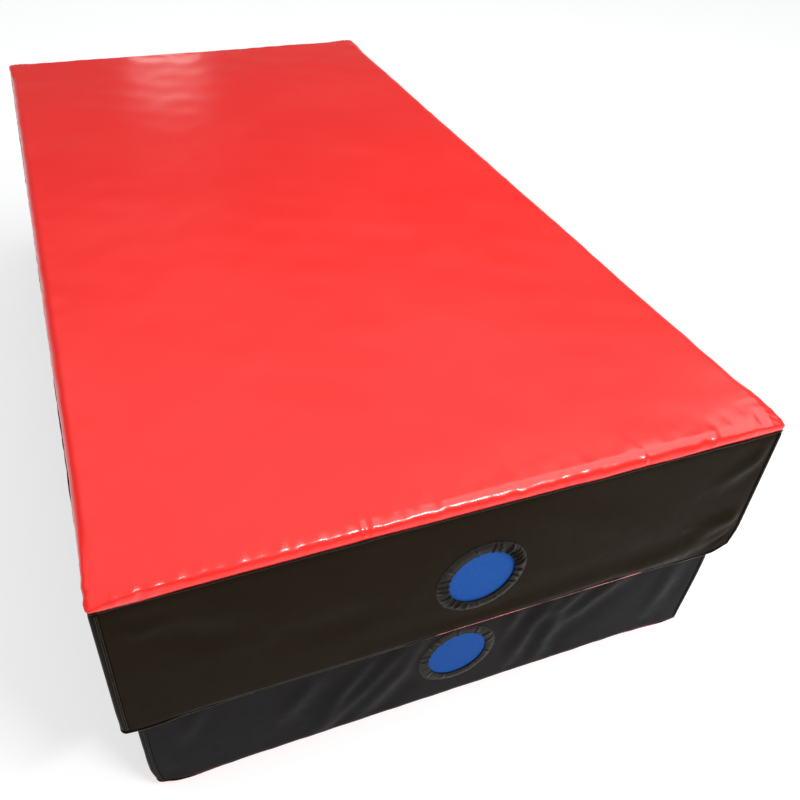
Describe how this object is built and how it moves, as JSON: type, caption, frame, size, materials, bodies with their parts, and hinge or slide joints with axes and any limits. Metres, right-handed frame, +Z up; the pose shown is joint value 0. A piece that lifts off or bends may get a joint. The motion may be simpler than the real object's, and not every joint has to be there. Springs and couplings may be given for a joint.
{
  "type": "crash landing mat",
  "caption": "Stacked pair of thick foam landing mats in zipped coated-cloth covers, with round mesh air vents; the upper mat lifts off the lower one.",
  "frame": {"origin": "on the floor, at the middle of the footprint of the stacked pair", "axes": "+X to the right along the vent end, +Y from the vent end to the zip end, +Z up"},
  "size_m": [1.0782, 2.0784, 0.6],
  "materials": {
    "red_vinyl": "gloss",
    "black_vinyl": "satin",
    "black_binding": "satin",
    "blue_mesh": "satin",
    "foam": "matte",
    "zip_tape": "matte",
    "zip_teeth": "satin",
    "zip_metal": "satin"
  },
  "bodies": {
    "lower_mat": {"lower_foam_core": "foam", "lower_top_sheet": "red_vinyl", "lower_bottom_sheet": "red_vinyl", "lower_front_panel": "black_vinyl", "lower_left_panel": "black_vinyl", "lower_right_panel": "black_vinyl", "lower_back_panel_low": "black_vinyl", "lower_back_panel_high": "black_vinyl", "lower_vent_mesh": "blue_mesh", "lower_vent_ring": "black_binding", "lower_top_welt": "black_binding", "lower_bottom_welt": "black_binding", "lower_corner_seams": "black_binding", "lower_zip_tape_low": "zip_tape", "lower_zip_tape_high": "zip_tape", "lower_zip_teeth_low": "zip_teeth", "lower_zip_teeth_high": "zip_teeth", "lower_zip_stops": "zip_teeth", "lower_zip_end_tabs": "black_vinyl"},
    "lower_zip_slider": {"lower_zip_slider": "zip_metal"},
    "lower_zip_pull": {"lower_zip_pull": "zip_metal"},
    "upper_mat": {"upper_foam_core": "foam", "upper_top_sheet": "red_vinyl", "upper_bottom_sheet": "red_vinyl", "upper_front_panel": "black_vinyl", "upper_left_panel": "black_vinyl", "upper_right_panel": "black_vinyl", "upper_back_panel_low": "black_vinyl", "upper_back_panel_high": "black_vinyl", "upper_vent_mesh": "blue_mesh", "upper_vent_ring": "black_binding", "upper_top_welt": "black_binding", "upper_bottom_welt": "black_binding", "upper_corner_seams": "black_binding", "upper_zip_tape_low": "zip_tape", "upper_zip_tape_high": "zip_tape", "upper_zip_teeth_low": "zip_teeth", "upper_zip_teeth_high": "zip_teeth", "upper_zip_stops": "zip_teeth", "upper_zip_end_tabs": "black_vinyl"},
    "upper_zip_slider": {"upper_zip_slider": "zip_metal"},
    "upper_zip_pull": {"upper_zip_pull": "zip_metal"}
  },
  "joints": [
    {"name": "upper_mat_lift", "type": "slide", "parent": "lower_mat", "child": "upper_mat", "axis": [0, 0, 1], "range_m": [0, 0.35]},
    {"name": "lower_zip_slide", "type": "slide", "parent": "lower_mat", "child": "lower_zip_slider", "axis": [-1, 0, 0], "range_m": [0, 0.886]},
    {"name": "lower_zip_pull_turn", "type": "hinge", "parent": "lower_zip_slider", "child": "lower_zip_pull", "pos_m": [0.4558, 1.0361, 0.15], "axis": [0, 0, 1], "range_deg": [0, 180]},
    {"name": "upper_zip_slide", "type": "slide", "parent": "upper_mat", "child": "upper_zip_slider", "axis": [-1, 0, 0], "range_m": [0, 0.886]},
    {"name": "upper_zip_pull_turn", "type": "hinge", "parent": "upper_zip_slider", "child": "upper_zip_pull", "pos_m": [0.4308, 0.9701, 0.45], "axis": [0, 0, 1], "range_deg": [0, 180]}
  ]
}
